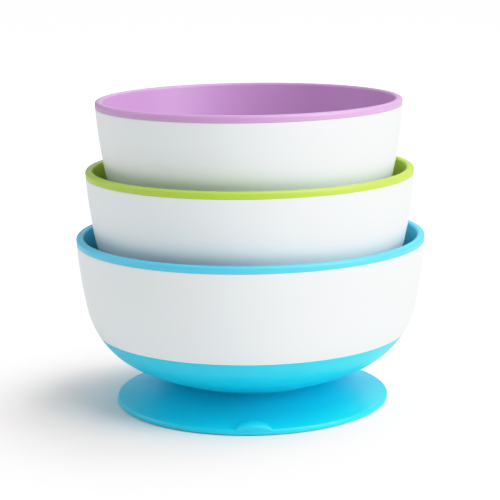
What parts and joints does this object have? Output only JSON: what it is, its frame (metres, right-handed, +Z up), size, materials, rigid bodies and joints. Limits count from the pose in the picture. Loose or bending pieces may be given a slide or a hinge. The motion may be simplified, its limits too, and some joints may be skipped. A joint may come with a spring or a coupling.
{
  "type": "nesting suction bowls",
  "caption": "Nested stack of round toddler bowls, each with a coloured liner and rim, a white outer sleeve and a soft suction base with a lift tab.",
  "frame": {"origin": "on the table, on the axis of the set, under the large bowl", "axes": "+Z up through the stack, the release tabs face -Y"},
  "size_m": [0.1366, 0.1364, 0.1195],
  "materials": {
    "blue_plastic": "satin",
    "green_plastic": "satin",
    "purple_plastic": "satin",
    "white_plastic": "satin",
    "blue_elastomer": "satin",
    "green_elastomer": "satin",
    "purple_elastomer": "satin"
  },
  "bodies": {
    "large_base": {"large_suction_skirt": "blue_elastomer"},
    "large_tab": {"large_release_tab": "blue_elastomer"},
    "large_bowl": {"large_base_cup": "blue_elastomer", "large_outer_sleeve": "white_plastic", "large_inner_bowl": "blue_plastic"},
    "medium_base": {"medium_suction_skirt": "green_elastomer"},
    "medium_tab": {"medium_release_tab": "green_elastomer"},
    "medium_bowl": {"medium_base_cup": "green_elastomer", "medium_outer_sleeve": "white_plastic", "medium_inner_bowl": "green_plastic"},
    "small_base": {"small_suction_skirt": "purple_elastomer"},
    "small_tab": {"small_release_tab": "purple_elastomer"},
    "small_bowl": {"small_base_cup": "purple_elastomer", "small_outer_sleeve": "white_plastic", "small_inner_bowl": "purple_plastic"}
  },
  "joints": [
    {"name": "large_press", "type": "slide", "parent": "large_base", "child": "large_bowl", "axis": [0, 0, 1], "range_m": [-0.003, 0], "stiffness_N_per_m": 6000, "springref_m": 0.001, "deforming": ["large_suction_skirt"]},
    {"name": "large_tab_lift", "type": "hinge", "parent": "large_base", "child": "large_tab", "pos_m": [0, -0.0476, 0.0041], "axis": [-1, 0, 0], "range_deg": [0, 30], "stiffness_Nm_per_rad": 0.02, "springref_deg": -2.86},
    {"name": "medium_lift_out", "type": "slide", "parent": "large_bowl", "child": "medium_base", "axis": [0, 0, 1], "range_m": [0, 0.06]},
    {"name": "medium_press", "type": "slide", "parent": "medium_base", "child": "medium_bowl", "axis": [0, 0, 1], "range_m": [-0.003, 0], "stiffness_N_per_m": 5000, "springref_m": 0.001, "deforming": ["medium_suction_skirt"]},
    {"name": "medium_tab_lift", "type": "hinge", "parent": "medium_base", "child": "medium_tab", "pos_m": [0, -0.0476, 0.02891], "axis": [-1, 0, 0], "range_deg": [0, 30], "stiffness_Nm_per_rad": 0.02, "springref_deg": -2.86},
    {"name": "small_lift_out", "type": "slide", "parent": "medium_bowl", "child": "small_base", "axis": [0, 0, 1], "range_m": [0, 0.06]},
    {"name": "small_press", "type": "slide", "parent": "small_base", "child": "small_bowl", "axis": [0, 0, 1], "range_m": [-0.003, 0], "stiffness_N_per_m": 5000, "springref_m": 0.001, "deforming": ["small_suction_skirt"]},
    {"name": "small_tab_lift", "type": "hinge", "parent": "small_base", "child": "small_tab", "pos_m": [0, -0.0476, 0.06015], "axis": [-1, 0, 0], "range_deg": [0, 30], "stiffness_Nm_per_rad": 0.02, "springref_deg": -2.86}
  ]
}
